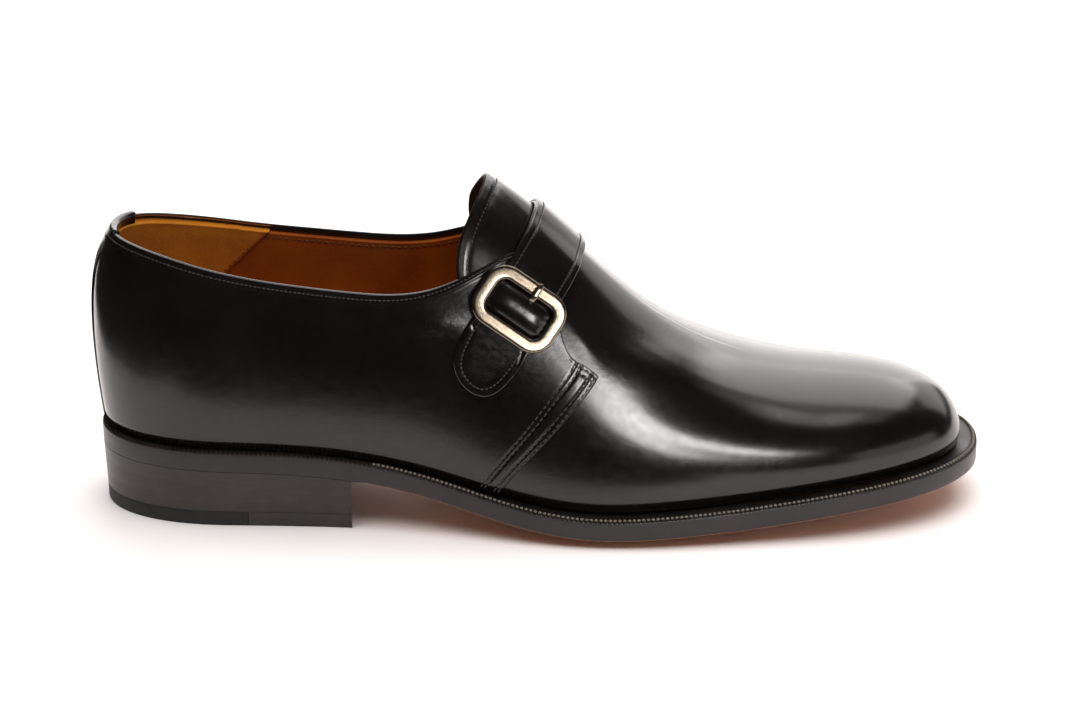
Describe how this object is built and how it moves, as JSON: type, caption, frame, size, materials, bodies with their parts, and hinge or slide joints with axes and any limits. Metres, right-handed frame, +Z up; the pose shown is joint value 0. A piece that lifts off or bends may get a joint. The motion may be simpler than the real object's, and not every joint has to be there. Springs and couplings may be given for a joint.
{
  "type": "monk-strap dress shoe",
  "caption": "Black calf monk-strap dress shoe for the right foot: lasted upper with tongue, quarters, buckled instep strap, welt, leather sole and stacked heel.",
  "frame": {"origin": "on the floor under the middle of the shoe's outline", "axes": "+X from the heel to the toe, +Y to the medial (inner) side of the foot, +Z up from the floor"},
  "size_m": [0.305, 0.1078, 0.1155],
  "materials": {
    "black_calf": "polished, glossy",
    "lining_leather": "matt tan lining leather",
    "welt_leather": "black dyed, wheeled and stitched",
    "sole_leather": "tan underside with dark waxed edges",
    "heel_leather": "stacked lifts, dark and waxed",
    "heel_rubber": "matt black",
    "aged_nickel": "satin, aged nickel plate"
  },
  "bodies": {
    "root": {"upper": "black_calf", "quarter_lateral": "black_calf", "quarter_medial": "black_calf", "back_strip": "black_calf", "strap": "black_calf", "buckle_frame": "aged_nickel", "buckle_prong": "aged_nickel", "insole": "lining_leather", "welt": "welt_leather", "outsole": "sole_leather", "heel_stack": "heel_leather", "heel_top_piece": "heel_leather", "heel_rubber_tip": "heel_rubber"}
  },
  "joints": []
}
